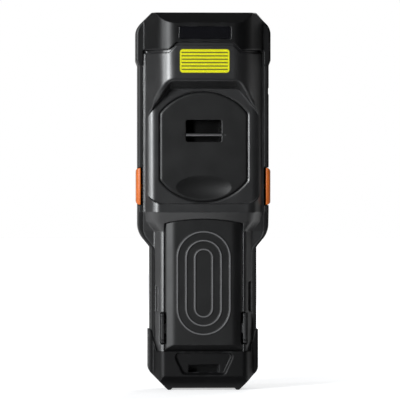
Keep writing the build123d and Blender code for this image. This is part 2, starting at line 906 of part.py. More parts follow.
def display_panel():
    """Display panel on the back of the cover glass."""
    trim = 2 * (glass_ledge + display_gap)
    return rounded(0, glass_z, glass_width - trim, glass_height - trim, display_corner,
                   glass_back_y - display_thick, glass_back_y)


def speaker():
    """Earpiece behind its slots."""
    return rounded(0, speaker_z, speaker_width, speaker_height, over, web_back_y - speaker_thick, web_back_y)


def status_lights():
    """Light guides on both sides of the earpiece."""
    return [post(x, speaker_z, light_radius, face_y - light_length, face_y) for x in (-light_x, light_x)]


def speaker_slots():
    """Sound slots above the screen."""
    first = -sound_slot_pitch * (sound_slot_count - 1) / 2
    return [slab(Pos(first + index * sound_slot_pitch, speaker_z) * oval(sound_slot_width, sound_slot_height),
                 web_back_y - over, face_y + over) for index in range(sound_slot_count)]


def window_opening(inset, z0, z1):
    """A rectangle round the scan window made solid between two heights."""
    face = RectangleRounded(window_width - 2 * inset, window_depth - 2 * inset, window_corner)
    return column(Pos(0, window_y) * face, z0, z1)


def scan_window():
    """Window of the scan engine, in the top of the cap."""
    high = terminal_length - window_sink
    return window_opening(0, high - window_thick, high)


# ---- Cases ----
def gasket():
    """Seal between the two cases, in a groove of the front case."""
    outer = case_outline(gasket_inset, case_bottom)
    inner = case_outline(gasket_inset + gasket_width, case_bottom)
    return slab(outer - inner, split_y, split_y + gasket_width)


def front_case():
    """Front shell: bezel, screen rim, key web and the front half of the head."""
    body = slab(case_outline(0, boot_front_top), split_y, rail_front_y)
    bezel = slab(body_outline(0, boot_front_top, cap_front_edge, bezel_corner), rail_front_y, face_y)
    bezel = chamfer(bezel.faces().sort_by(Axis.Y)[-1].edges(), bezel_chamfer)
    body = body + bezel - cap_region()
    body += turret() & block(-reach, reach, split_y, reach, 0, terminal_length)
    rim = rounded(0, glass_z, glass_width + 2 * rim_width, glass_height + 2 * rim_width,
                  glass_corner + rim_width, face_y - bite, front_y)
    body += chamfer(rim.faces().sort_by(Axis.Y)[-1].edges(), rim_chamfer)
    inside = case_outline(wall, boot_front_top)
    body -= slab(inside & band(0, cap_front_edge), split_y - over, web_back_y)
    body -= slab(inside, split_y - over, front_y - cap_wall - wall)
    body -= rounded(0, glass_z, glass_width + 2 * glass_gap, glass_height + 2 * glass_gap, glass_corner,
                    glass_back_y, front_y + over)
    body -= rounded(0, glass_z, glass_width - 2 * glass_ledge, glass_height - 2 * glass_ledge, display_corner,
                    web_back_y - over, front_y)
    body -= key_holes()
    body += keypad_posts(post_radius, board_front_y, web_back_y + bite)
    body -= speaker_slots() + status_lights()
    return body - gasket()


def rear_case():
    """Rear shell: scan head, recess for the grip cover, ridge, and bay for the battery pack."""
    body = envelope() & slab(case_outline(0, case_bottom), -reach, split_y)
    cutter = recess_cutter()
    body -= cutter
    body = fillet(recess_rim(body, cutter), recess_edge)
    body -= cap_region()
    body += turret() & block(-reach, reach, -reach, split_y, 0, terminal_length)
    body -= cover_bay()
    body -= slab(battery_face(-fit_gap), -reach, battery_floor_y)
    body -= both_sides(latch_slot())
    inset = turret_inset + wall
    head_room = column(head_section(inset, head_y + inset, reach), recess_top + wall, turret_top - wall)
    head_room = head_room & slab(case_outline(wall, 0), -reach, split_y)
    body -= head_room - top_slope(cap_top_wall + 1.5 * wall)
    upper = case_outline(wall, 0) & band(battery_top + fit_gap + wall, recess_top + wall)
    body -= slab(upper, bay_floor_y + wall, split_y + over)
    body -= slab(case_outline(wall, case_bottom), battery_floor_y + wall, split_y + over)
    body -= window_opening(window_ledge, turret_top - 2 * wall, terminal_length)
    body -= cap_groove()
    body -= detents()
    body += main_board_posts()
    for side in (1, -1):
        body -= trigger_stem(side, fit_gap, trigger_travel + over)
    return body - side_socket_form() - grip_contacts() - battery_terminals() - case_screws()


def cap_groove():
    """Shadow groove round the rear case, just below the head cap."""
    groove = cap_region(groove_height) - cap_region()
    return groove - column(head_section(groove_depth, head_y + groove_depth, reach), 0, terminal_length)


def detents():
    """Shallow slots in the grip flanks that a holster clip drops into."""
    cuts = []
    for side, length in ((-1, left_detent_length), (1, right_detent_length)):
        place = Pos(side * (grip_width / 2 - detent_inset), detent_low + length / 2)
        cuts.append(slab(place * oval(detent_width, length), -reach, grip_flank_y - detent_floor))
    return cuts


# ---- Head cap ----
def cap_edges(body, outline):
    """Outer edges of the cap that are rounded: not the top of its rear slope or the foot of its sides."""
    low = terminal_length - cap_side_drop - cap_low_radius
    found = []
    for edge in edges_on(body, outline, rear_y - over, front_y + over):
        box = edge.bounding_box()
        on_top = box.min.Z > terminal_length - bite
        if box.min.Z > low and (box.min.Y > split_y or not on_top):
            found.append(edge)
    return found


def head_cap():
    """Rubber-edged cap over the head: corner bumpers, scan window seat and badge pocket."""
    section = head_section(-cap_proud, rear_y, front_y)
    outline = slab(cap_outline(), -reach, reach)
    body = (column(section, rail_top - over, terminal_length) & outline) - top_slope(0)
    body = fillet(cap_edges(body, outline), cap_edge) & cap_region()
    body -= turret()
    body -= window_opening(0, terminal_length - window_sink - window_thick, terminal_length + over)
    body -= window_opening(window_ledge, turret_top - over, terminal_length)
    return body - badge(over)


def badge(extra):
    """Blank badge plate in the cap, and with something extra the pocket that it lies in."""
    y0 = rear_y + badge_sink
    return rounded(0, terminal_length - badge_drop, badge_width, badge_height, badge_corner,
                   y0 - extra, y0 + badge_thick)


def back_label():
    """Plain film on the rear of the head."""
    return rounded(0, terminal_length - label_drop, label_width, label_height, label_corner,
                   head_y - label_thick, head_y)


# ---- Rails, triggers and side port ----
def rail():
    """Side rail on +X, between the head cap and the bottom boot."""
    outer = slab(body_outline(0, -over, rail_top + over), -reach, rail_front_y)
    inner = slab(body_outline(rail_wall, -2 * over, terminal_length), -reach, reach)
    ring = (envelope() & outer) - inner
    ring = ring & block(0, reach, -reach, reach, 0, rail_top)
    ring = fillet(edges_on(ring, outer, shoulder_y, grip_flank_y + over), rail_edge)
    ring -= boot_region()
    return ring - block(case_half - over, reach, -reach, trigger_front_y + button_gap,
                        trigger_bottom - button_gap, trigger_top + button_gap)


def trigger_stem(side, gap=0, room=0):
    """Stem of a trigger, and with a gap and some room at its inner end the hole that it runs in."""
    ends = (side * (stem_end - room), side * (trigger_x - trigger_thick + bite))
    return rod(stem_y, trigger_z, stem_size / 2 + gap, min(ends), max(ends))


def trigger(side):
    """Side trigger: a thumb pad with rounded ends and a stem that reaches its switch."""
    back = trigger_x - trigger_thick
    pad = slab(closed([
        (back, trigger_bottom, 0),
        (trigger_x, trigger_bottom, trigger_end_radius),
        (trigger_x, trigger_top, trigger_end_radius),
        (back, trigger_top, 0),
    ]), trigger_rear_y, trigger_front_y)
    ends = pad.faces().filter_by(Axis.Y)
    pad = fillet([edge for edge in ends.edges() if (edge @ 0.5).X > back + bite], trigger_edge)
    if side < 0:
        pad = mirror(pad, about=Plane.YZ)
    return pad + trigger_stem(side)


def trigger_switches():
    """Side switches on the main board, one behind each trigger."""
    x1 = stem_end - trigger_travel - switch_gap
    switch = block(x1 - switch_size, x1, stem_y - stem_size, main_board_y,
                   trigger_z - switch_height / 2, trigger_z + switch_height / 2)
    return [switch, mirror(switch, about=Plane.YZ)]


def side_socket_form():
    """Outer form of the service socket."""
    x1 = body_width / 2 - flap_thick - stop_gap
    return across(Pos(plug_y, plug_z) * oval(plug_height, plug_width), x1 - plug_depth - over, x1)


def side_socket():
    """Service socket behind the port cover."""
    x1 = body_width / 2 - flap_thick - stop_gap
    inner = Pos(plug_y, plug_z) * oval(plug_height - 2 * plug_wall, plug_width - 2 * plug_wall)
    tongue = block(x1 - plug_depth - bite, x1 - over,
                   plug_y - plug_tongue_thick / 2, plug_y + plug_tongue_thick / 2,
                   plug_z - plug_tongue_width / 2, plug_z + plug_tongue_width / 2)
    return side_socket_form() - across(inner, x1 - plug_depth, x1 + over) + tongue


def right_rail():
    """Rail with the pocket of the port cover, a notch for a fingernail and a small notch above."""
    side = body_width / 2
    pocket = block(side - flap_thick - stop_gap, reach, port_rear_y, port_front_y, port_bottom, port_top)
    nail = block(side - nail_notch_depth, reach, plug_y - nail_notch / 2, plug_y + nail_notch / 2,
                 port_bottom - nail_notch_depth, port_bottom + over)
    mark = block(side - mark_depth, reach, -reach, port_rear_y, mark_low, mark_low + mark_length)
    return rail() - pocket - nail - mark - side_socket_form()


def port_cover():
    """Flap over the service socket, on a rolled edge at its top."""
    side = body_width / 2
    rear = port_rear_y + fit_gap
    front = port_front_y - fit_gap
    axis_x = side - flap_thick / 2
    axis_z = port_top - fit_gap - flap_thick / 2
    plate = block(side - flap_thick, side, rear, front, port_bottom + fit_gap, axis_z)
    return plate + slab(Pos(axis_x, axis_z) * Circle(flap_thick / 2), rear, front)


# ---- Bottom boot ----
def boot_outline():
    """Front-view outline of the boot: chamfered corners and two feet."""
    foot_x = boot_width / 2 - foot_inset
    return mirrored([
        (boot_width / 2, boot_side_top + over, 0),
        (boot_width / 2, boot_corner_z, boot_corner_radius),
        (foot_x, 0, foot_radius),
        (foot_x - foot_width, 0, foot_radius),
        (foot_x - foot_width - foot_height, foot_height, foot_radius),
    ])


def boot_section(front):
    """Cut across the boot."""
    flank_x = grip_width / 2 - boot_flank_inset
    return mirrored([
        (reach, front, 0),
        (reach, grip_flank_y - cap_proud, 0),
        (flank_x, grip_flank_y - cap_proud, 0),
        (flank_x - boot_flank_width, boot_rear_y, boot_edge_radius),
    ])


def boot_dish():
    """Dish in the rear of the boot, with sloping walls."""
    depth = boot_dish_depth
    outer = mirrored([
        (boot_dish_half_top, boot_dish_top, boot_dish_radius),
        (boot_dish_half_bottom, boot_dish_bottom, boot_dish_radius),
    ])
    inner = mirrored([
        (boot_dish_half_top - depth, boot_dish_top - bite, boot_dish_radius - bite),
        (boot_dish_half_bottom - depth / 2, boot_dish_bottom + depth, boot_dish_radius - bite),
    ])
    mouth = Plane.XZ.offset(-boot_rear_y) * outer
    floor = Plane.XZ.offset(-boot_rear_y - depth) * inner
    return slab(outer, -reach, boot_rear_y) + loft([mouth, floor], ruled=True)


def bottom_boot():
    """Boot round the lower end, with its own strap bar, a dished rear face and the dock connector."""
    outline = slab(boot_outline(), -reach, reach)
    body = column(boot_section(front_y - boot_setback), 0, boot_side_top + over)
    body += column(boot_section(face_y + cap_proud), 0, boot_front_top)
    body = body & outline
    bevel = closed([
        (boot_rear_y - over, -over, 0),
        (boot_rear_y + boot_bevel_depth, -over, 0),
        (boot_rear_y + boot_bevel_depth, 0, 0),
        (boot_rear_y - bite, boot_bevel_top, 0),
        (boot_rear_y - over, boot_bevel_top, 0),
    ])
    body = fillet(edges_on(body, outline, boot_rear_y - over, 0), boot_edge)
    body -= across(bevel, -reach, reach)
    body = body & boot_region()
    body -= envelope() & slab(case_outline(0, case_bottom), -reach, split_y)
    body -= slab(case_outline(0, boot_front_top), split_y, reach)
    body -= slab(body_outline(0, boot_front_top, terminal_length, bezel_corner), rail_front_y, reach)
    body -= boot_dish()
    half = strap_slot_width / 2
    top = strap_slot_bottom + strap_slot_height
    channel = boot_rear_y + strap_bar_depth
    body -= block(-half, half, -reach, channel + strap_channel, strap_slot_bottom, top)
    body -= block(-half, half, channel, channel + strap_channel, -over, top)
    seats = [column(Pos(x, screw_y) * Circle(screw_head_radius + fit_gap), -over, screw_head_z + bite)
             for x in (-screw_x, screw_x)]
    return body - charge_form() - dock_contacts() - case_screws() - seats


def charge_form():
    """Outer form of the charging socket."""
    return column(Pos(0, charge_y) * oval(plug_width, plug_height), foot_height, foot_height + charge_length)


def charge_socket():
    """Charging socket in the bottom of the boot."""
    inner = Pos(0, charge_y) * oval(plug_width - 2 * plug_wall, plug_height - 2 * plug_wall)
    depth = foot_height + charge_length - over
    tongue = block(-plug_tongue_width / 2, plug_tongue_width / 2,
                   charge_y - plug_tongue_thick / 2, charge_y + plug_tongue_thick / 2,
                   foot_height + over, depth + bite)
    return charge_form() - column(inner, foot_height - over, depth) + tongue


def dock_contacts():
    """Charging pads in the bottom of the boot."""
    low = foot_height - dock_pad_proud
    return [block(x - dock_pad_width / 2, x + dock_pad_width / 2, dock_y - dock_pad_depth / 2,
                  dock_y + dock_pad_depth / 2, low, low + dock_pad_depth) for x in contact_places()]


def case_screws():
    """Two screws that hold the boot to the rear case."""
    shank_z = screw_head_z + screw_head_thick
    screws = []
    for x in (-screw_x, screw_x):
        head = column(Pos(x, screw_y) * Circle(screw_head_radius), screw_head_z, shank_z)
        shank = column(Pos(x, screw_y) * Circle(screw_radius), shank_z, case_bottom + screw_bite)
        screws.append(head + shank)
    return screws


# ---- Write the sub-parts ----
def keep(name, shape):
    """Write one sub-part, given as one solid or as a list of separate solids."""
    pieces = shape if isinstance(shape, list) else [shape]
    solids = [solid for piece in pieces for solid in piece.solids()]
    export_step(solids[0] if len(solids) == 1 else Compound(children=solids), "parts/" + name + ".step")


def main():
    """Build every sub-part."""
    keep("front_case", front_case())
    keep("rear_case", rear_case())
    keep("head_cap", head_cap())
    keep("bottom_boot", bottom_boot())
    keep("left_rail", mirror(rail(), about=Plane.YZ))
    keep("right_rail", right_rail())
    keep("badge_plate", badge(0))
    keep("back_label", back_label())
    keep("scan_window", scan_window())
    keep("scan_engine", scan_engine())
    keep("display_glass", display_glass())
    keep("lcd_module", display_panel())
    keep("key_mat", key_mat())
    keep("keypad_board", keypad_sheet(board_front_y - board_thick, board_front_y))
    keep("main_board", main_board())
    keep("case_gasket", gasket())
    keep("case_screws", case_screws())
    keep("speaker", speaker())
    keep("status_lights", status_lights())
    keep("trigger_switches", trigger_switches())
    keep("side_socket", side_socket())
    keep("usb_socket", charge_socket())
    keep("dock_contacts", dock_contacts())
    keep("battery_terminals", battery_terminals())
    keep("grip_contacts", grip_contacts())
    keep("battery_case", battery_case())
    keep("battery_cell", battery_cell())
    keep("battery_pads", battery_pads())
    keep("right_latch", battery_latch())
    keep("left_latch", mirror(battery_latch(), about=Plane.YZ))
    keep("grip_cover", grip_cover())
    keep("strap_pin", strap_pin())
    keep("left_trigger", trigger(-1))
    keep("right_trigger", trigger(1))
    keep("port_cover", port_cover())
    for name, x, z, width, height in key_places():
        keep(name, key(x, z, width, height))


main()
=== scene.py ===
import bmesh
import bpy
import json
import math
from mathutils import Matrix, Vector


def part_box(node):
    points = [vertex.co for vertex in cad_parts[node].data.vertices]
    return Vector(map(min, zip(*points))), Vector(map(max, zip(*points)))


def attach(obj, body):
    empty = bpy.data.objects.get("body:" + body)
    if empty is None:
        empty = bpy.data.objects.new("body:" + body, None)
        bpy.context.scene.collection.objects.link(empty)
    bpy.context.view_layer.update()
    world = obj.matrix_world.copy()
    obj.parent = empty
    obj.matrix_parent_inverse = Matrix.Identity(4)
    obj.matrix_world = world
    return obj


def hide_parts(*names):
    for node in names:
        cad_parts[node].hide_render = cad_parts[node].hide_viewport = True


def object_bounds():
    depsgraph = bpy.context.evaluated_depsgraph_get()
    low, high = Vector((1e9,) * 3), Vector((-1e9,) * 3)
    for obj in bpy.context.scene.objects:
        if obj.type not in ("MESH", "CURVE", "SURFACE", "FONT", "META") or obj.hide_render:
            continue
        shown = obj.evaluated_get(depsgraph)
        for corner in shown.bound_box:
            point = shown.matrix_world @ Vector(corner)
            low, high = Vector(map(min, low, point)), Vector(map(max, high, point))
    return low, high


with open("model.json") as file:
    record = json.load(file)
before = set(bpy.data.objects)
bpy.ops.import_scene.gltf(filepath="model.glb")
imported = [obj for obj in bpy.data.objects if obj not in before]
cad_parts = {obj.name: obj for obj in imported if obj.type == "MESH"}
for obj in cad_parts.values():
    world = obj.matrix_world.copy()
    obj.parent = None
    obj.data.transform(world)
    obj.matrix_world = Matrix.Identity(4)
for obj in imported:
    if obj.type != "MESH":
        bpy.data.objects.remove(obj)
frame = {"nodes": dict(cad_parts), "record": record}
nodes = frame["nodes"]
cadLow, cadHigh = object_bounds()
print("frame loaded:", len(nodes), "nodes")


# a small kit for building shader trees
class Tree:
    def __init__(self, name):
        self.mat = bpy.data.materials.new(name)
        self.mat.use_nodes = True
        self.all = self.mat.node_tree.nodes
        self.links = self.mat.node_tree.links
        self.shader = self.all["Principled BSDF"]
        self.place = self.add("ShaderNodeTexCoord").outputs["Object"]

    def add(self, kind, **settings):
        node = self.all.new(kind)
        for key, value in settings.items():
            setattr(node, key, value)
        return node

    def put(self, node, socket, value):
        if isinstance(value, bpy.types.NodeSocket):
            self.links.new(value, node.inputs[socket])
        else:
            node.inputs[socket].default_value = value

    def maths(self, operation, a, b=0.0):
        node = self.add("ShaderNodeMath", operation=operation)
        self.put(node, 0, a)
        self.put(node, 1, b)
        return node.outputs[0]

    def noise(self, size, detail=2.0):
        node = self.add("ShaderNodeTexNoise")
        self.put(node, "Vector", self.place)
        self.put(node, "Scale", 1 / size)
        self.put(node, "Detail", detail)
        return node.outputs["Fac"]

    def spread(self, value, low, high, toLow=0.0, toHigh=1.0):
        node = self.add("ShaderNodeMapRange")
        for socket, number in (("Value", value), ("From Min", low), ("From Max", high),
                               ("To Min", toLow), ("To Max", toHigh)):
            self.put(node, socket, number)
        return node.outputs["Result"]

    def mix(self, share, first, second):
        node = self.add("ShaderNodeMix", data_type="RGBA")
        self.put(node, "Factor", share)
        self.put(node, 6, first)  # 6 and 7 are its two colours, and 2 the mixed one
        self.put(node, 7, second)
        return node.outputs[2]

    # the place on the object as X, Y and Z
    def axes(self):
        split = self.add("ShaderNodeSeparateXYZ")
        self.put(split, "Vector", self.place)
        return split.outputs

    # distance from a rounded rectangle in X and Z, less than zero inside it
    def panel(self, middle, half, radius):
        axes = self.axes()
        sides = []
        for axis, centre, size in ((0, middle[0], half[0]), (2, middle[1], half[1])):
            away = self.maths("ABSOLUTE", self.maths("SUBTRACT", axes[axis], centre))
            sides.append(self.maths("MAXIMUM", self.maths("SUBTRACT", away, size - radius), 0.0))
        squares = [self.maths("MULTIPLY", side, side) for side in sides]
        corner = self.maths("SQRT", self.maths("ADD", squares[0], squares[1]))
        return self.maths("SUBTRACT", corner, radius)

    # a second tone over part of the finish
    def overlay(self, mask, colour):
        under = self.shader.inputs["Base Color"].links[0].from_socket
        self.put(self.shader, "Base Color", self.mix(mask, under, rgb(colour)))


def rgb(colour):
    return (*colour, 1.0)


# the middle and the half size of a node in X and Z
def faceOf(name, inset=0.0):
    low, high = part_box(name)
    middle = ((low.x + high.x) / 2, (low.z + high.z) / 2)
    half = ((high.x - low.x) / 2 - inset, (high.z - low.z) / 2 - inset)
    return middle, half


# what a user would change about a moulded piece: its colours, the sizes of its marks, and its feel
# the rubbed colour and the wear strength give pale edges: partly rubbed wear, partly a painted highlight
plain = {"colour": (0.009, 0.009, 0.0094), "second": (0.011, 0.011, 0.0114),
         "edgeWearAndSheen": (0.075, 0.075, 0.078), "patch": 0.03, "scuff": 0.004, "grain": 0.00035,
         "relief": 0.2, "rough": 0.35, "haze": 0.03, "gloss": 0.9, "metal": 0.0,
         "edge": 0.0011, "wear": 0.4}
finishes = {
    "case_plastic": {},
    "cap_rubber": {"colour": (0.0022, 0.0022, 0.0024), "second": (0.003, 0.003, 0.0032),
                   "rough": 0.4, "gloss": 0.33},
    "boot_rubber": {"colour": (0.002, 0.002, 0.0022), "second": (0.0025, 0.0025, 0.0027),
                    "rough": 0.44, "gloss": 0.2},
    "rail_rubber": {"colour": (0.003, 0.003, 0.0032), "second": (0.004, 0.004, 0.0042),
                    "rough": 0.48, "gloss": 0.35},
    "battery_plastic": {"colour": (0.003, 0.003, 0.0032), "second": (0.0045, 0.0045, 0.0047),
                        "rough": 0.45, "gloss": 0.4},
    "cover_plastic": {"colour": (0.004, 0.004, 0.0041), "second": (0.0055, 0.0055, 0.0056),
                      "rough": 0.42, "gloss": 0.45},
    "latch_plastic": {"colour": (0.008, 0.008, 0.0083), "rough": 0.42, "gloss": 0.5},
    "inner_plastic": {"colour": (0.02, 0.02, 0.022), "rough": 0.5},
    "flap_rubber": {"colour": (0.013, 0.013, 0.014), "rough": 0.5},
    "seal_rubber": {"colour": (0.01, 0.01, 0.01), "rough": 0.7},
    "mat_rubber": {"colour": (0.05, 0.05, 0.055), "rough": 0.7},
    "badge_gloss": {"colour": (0.004, 0.004, 0.005), "second": (0.005, 0.005, 0.006), "rough": 0.12,
                    "haze": 0.02, "relief": 0.02, "gloss": 0.5, "wear": 0.1},
    "trigger_orange": {"colour": (0.43, 0.09, 0.006), "second": (0.46, 0.1, 0.008),
                       "edgeWearAndSheen": (0.6, 0.25, 0.12), "rough": 0.42, "gloss": 0.4,
                       "edge": 0.0006, "wear": 0.2},
    "key_orange": {"colour": (0.8, 0.16, 0.015), "second": (0.85, 0.18, 0.02),
                   "edgeWearAndSheen": (0.9, 0.4, 0.2), "rough": 0.42, "gloss": 0.5},
    "key_orange_dark": {"colour": (0.42, 0.09, 0.012), "second": (0.45, 0.1, 0.015),
                        "edgeWearAndSheen": (0.5, 0.25, 0.15), "rough": 0.42, "gloss": 0.5},
    "key_red": {"colour": (0.42, 0.015, 0.012), "second": (0.46, 0.02, 0.015),
                "edgeWearAndSheen": (0.6, 0.2, 0.2), "rough": 0.42, "gloss": 0.5},
    "key_grey": {"colour": (0.035, 0.036, 0.04), "second": (0.04, 0.041, 0.045),
                 "edgeWearAndSheen": (0.12, 0.12, 0.12), "rough": 0.45, "gloss": 0.5},
    "pin_steel": {"colour": (0.55, 0.55, 0.56), "second": (0.5, 0.5, 0.51),
                  "edgeWearAndSheen": (0.7, 0.7, 0.7), "rough": 0.3, "metal": 1.0},
    "screw_steel": {"colour": (0.5, 0.5, 0.51), "second": (0.45, 0.45, 0.46), "rough": 0.35, "metal": 1.0},
    "socket_steel": {"colour": (0.55, 0.55, 0.56), "second": (0.5, 0.5, 0.51), "rough": 0.3, "metal": 1.0},
    "speaker_metal": {"colour": (0.3, 0.3, 0.31), "second": (0.25, 0.25, 0.26), "rough": 0.4, "metal": 1.0},
    "cell_metal": {"colour": (0.5, 0.51, 0.53), "second": (0.45, 0.46, 0.48), "rough": 0.38, "metal": 1.0},
    "contact_gold": {"colour": (0.8, 0.55, 0.2), "second": (0.75, 0.5, 0.18), "rough": 0.25, "metal": 1.0},
    "scan_glass": {"colour": (0.02, 0.004, 0.005), "second": (0.018, 0.004, 0.005), "rough": 0.06,
                   "haze": 0.01, "relief": 0.0, "gloss": 0.5, "wear": 0.0},
    "screen_panel": {"colour": (0.02, 0.024, 0.028), "second": (0.02, 0.024, 0.028), "rough": 0.3},
    "light_guide": {"colour": (0.5, 0.5, 0.5), "second": (0.55, 0.55, 0.55), "rough": 0.2},
    "board": {"colour": (0.01, 0.09, 0.04), "second": (0.012, 0.11, 0.05), "rough": 0.35},
}

# how the marks are drawn: the band of each noise that is stretched to the full range, and its detail
marks = {"toneBand": (0.35, 0.65), "scuffBand": (0.42, 0.72), "scuffDetail": 4.0, "grainDetail": 3.0,
         "grainDepth": 0.25, "hazeBand": (0.3, 0.7), "hazeDetail": 5.0, "hazeSize": 0.4,
         "edgeBand": (0.995, 0.86), "edgeRays": 6}


# one moulded finish: two near tones, a fine moulded grain, soft edges, and pale edges that are partly rubbed
# wear and partly a painted highlight where the edges catch light
def moulded(name, look):
    tree = Tree(name)
    shader = tree.shader
    soft = tree.add("ShaderNodeBevel", samples=marks["edgeRays"])
    tree.put(soft, "Radius", look["edge"])
    tone = tree.spread(tree.noise(look["patch"]), *marks["toneBand"])
    colour = tree.mix(tone, rgb(look["colour"]), rgb(look["second"]))
    geometry = tree.add("ShaderNodeNewGeometry")
    facing = tree.add("ShaderNodeVectorMath", operation="DOT_PRODUCT")
    tree.put(facing, 0, soft.outputs["Normal"])
    tree.put(facing, 1, geometry.outputs["Normal"])
    turned = tree.spread(facing.outputs["Value"], *marks["edgeBand"])
    scuff = tree.spread(tree.noise(look["scuff"], marks["scuffDetail"]), *marks["scuffBand"])
    # paler colour on the edges: partly rubbed wear, partly a painted highlight where edges catch light
    edgeWearAndSheen = tree.maths("MULTIPLY", tree.maths("MULTIPLY", turned, scuff), look["wear"])
    tree.put(shader, "Base Color", tree.mix(edgeWearAndSheen, colour, rgb(look["edgeWearAndSheen"])))
    fine = tree.noise(look["grain"], marks["grainDetail"])
    haze = tree.noise(look["patch"] * marks["hazeSize"], marks["hazeDetail"])
    uneven = tree.spread(haze, *marks["hazeBand"], -look["haze"], look["haze"])
    tree.put(shader, "Roughness", tree.maths("ADD", uneven, look["rough"]))
    bump = tree.add("ShaderNodeBump")
    tree.put(bump, "Strength", look["relief"])
    tree.put(bump, "Distance", look["grain"] * marks["grainDepth"])
    tree.put(bump, "Height", fine)
    tree.put(bump, "Normal", soft.outputs["Normal"])
    tree.put(shader, "Normal", bump.outputs["Normal"])
    tree.put(shader, "Specular IOR Level", look["gloss"])
    tree.put(shader, "Metallic", look["metal"])
    return tree


# pale colour for the ring tops, a painted highlight
ringHighlight = {"colour": (0.085, 0.085, 0.087), "depth": 0.00022}


# the tops of the battery's raised rings are painted pale: a painted highlight where the ridges catch light
def polishRings(tree):
    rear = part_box("battery_case")[0].y
    tree.overlay(tree.maths("LESS_THAN", tree.axes()[1], rear + ringHighlight["depth"]), ringHighlight["colour"])


# near-black colour for the recess, a painted shade
pocketShade = {"colour": (0.001, 0.001, 0.001), "behind": 0.0003, "smoother": 0.68}


# the room behind the grip cover is painted near black as painted shade in that recess, and made smoother
# than the rest of the case
def darkenPocket(tree):
    middle, half = faceOf("grip_cover")
    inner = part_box("grip_cover")[1].y
    deep = tree.maths("GREATER_THAN", tree.axes()[1], inner + pocketShade["behind"])
    inside = tree.maths("LESS_THAN", tree.panel(middle, half, min(half)), 0.0)
    mask = tree.maths("MULTIPLY", deep, inside)
    # painted shade inside the recess behind the cover
    tree.overlay(mask, pocketShade["colour"])
    rough = tree.shader.inputs["Roughness"].links[0].from_socket
    share = tree.spread(mask, 0.0, 1.0, 1.0, pocketShade["smoother"])
    tree.put(tree.shader, "Roughness", tree.maths("MULTIPLY", rough, share))


label = {"yellow": (0.56, 0.55, 0.0), "second": (0.53, 0.52, 0.0), "ink": (0.11, 0.105, 0.01),
         "patch": 0.004, "rough": 0.35, "border": 0.00035, "corner": 0.002,
         "rules": 6, "ruleWidth": 0.0008, "margin": 0.0012}


# yellow film with a thin border and plain rules
def labelFilm():
    middle, half = faceOf("back_label")
    tree = Tree("label_yellow")
    edge = tree.panel(middle, half, label["corner"])
    border = tree.maths("GREATER_THAN", edge, -label["border"])
    pitch = 2 * (half[1] - label["margin"]) / label["rules"]
    foot = middle[1] - half[1] + label["margin"]
    row = tree.maths("DIVIDE", tree.maths("SUBTRACT", tree.axes()[2], foot), pitch)
    offset = tree.maths("ABSOLUTE", tree.maths("SUBTRACT", tree.maths("FRACT", row), 0.5))
    onRule = tree.maths("LESS_THAN", offset, label["ruleWidth"] / 2 / pitch)
    inside = tree.maths("LESS_THAN", edge, -label["margin"])
    ink = tree.maths("MAXIMUM", border, tree.maths("MULTIPLY", onRule, inside))
    tone = tree.mix(tree.noise(label["patch"]), rgb(label["yellow"]), rgb(label["second"]))
    tree.put(tree.shader, "Base Color", tree.mix(ink, tone, rgb(label["ink"])))
    tree.put(tree.shader, "Roughness", label["rough"])
    return tree.mat


screen = {"border": (0.002, 0.002, 0.0022), "low": (0.011, 0.013, 0.016), "high": (0.017, 0.02, 0.025),
          "trace": (0.035, 0.037, 0.04), "inset": 0.0022, "corner": 0.0012, "traceWidth": 0.00025,
          "smear": 0.02, "smearDetail": 4.0, "smearBand": (0.45, 0.75), "rough": (0.04, 0.11)}


# a black printed border round the dark panel, which is painted lighter towards the top as a painted
# reflection, a thin trace between them, and faint finger smears
def screenGlass():
    low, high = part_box("display_glass")
    middle, half = faceOf("display_glass", screen["inset"])
    tree = Tree("screen_glass")
    edge = tree.panel(middle, half, screen["corner"])
    # painted reflection: the panel's colour grows lighter towards the top
    rise = tree.spread(tree.axes()[2], low.z, high.z)
    paintedReflection = tree.mix(rise, rgb(screen["low"]), rgb(screen["high"]))
    inside = tree.maths("LESS_THAN", edge, 0.0)
    colour = tree.mix(inside, rgb(screen["border"]), paintedReflection)
    onTrace = tree.maths("LESS_THAN", tree.maths("ABSOLUTE", edge), screen["traceWidth"] / 2)
    tree.put(tree.shader, "Base Color", tree.mix(onTrace, colour, rgb(screen["trace"])))
    smear = tree.noise(screen["smear"], screen["smearDetail"])
    tree.put(tree.shader, "Roughness", tree.spread(smear, *screen["smearBand"], *screen["rough"]))
    return tree.mat


def makeMaterials():
    trees = {name: moulded(name, {**plain, **changes}) for name, changes in finishes.items()}
    polishRings(trees["battery_plastic"])
    darkenPocket(trees["case_plastic"])
    made = {name: tree.mat for name, tree in trees.items()}
    made["label_yellow"] = labelFilm()
    made["screen_glass"] = screenGlass()
    return made


def paintNodes():
    slotOf = {part["node"]: part["material_slot"] for part in frame["record"]["subparts"]}
    made = makeMaterials()
    for name, obj in nodes.items():
        obj.data.materials.clear()
        obj.data.materials.append(made[slotOf[name]])


paintNodes()
print("materials on")

# trigger pads, fuller under the thumb than the plain ones, each on its stem
pads = {"thick": 0.0028, "round": 0.0024, "steps": 8, "edge": 0.0006, "edgeSteps": 3, "sharp": 50,
        "stemRadius": 0.0015, "near": 0.0001, "smooth": 35}


# picks the outer edges of the pad's block, apart from the front one
def pickOuterEdges(mesh, outer, front):
    bpy.ops.mesh.select_mode(type="EDGE")
    bpy.ops.mesh.select_all(action="DESELECT")
    form = bmesh.from_edit_mesh(mesh)
    for edge in form.edges:
        onOuter = all(abs(end.co.x - outer) < pads["near"] for end in edge.verts)
        onFront = all(abs(end.co.y - front) < pads["near"] for end in edge.verts)
        edge.select_set(onOuter and not onFront)
    bmesh.update_edit_mesh(mesh)


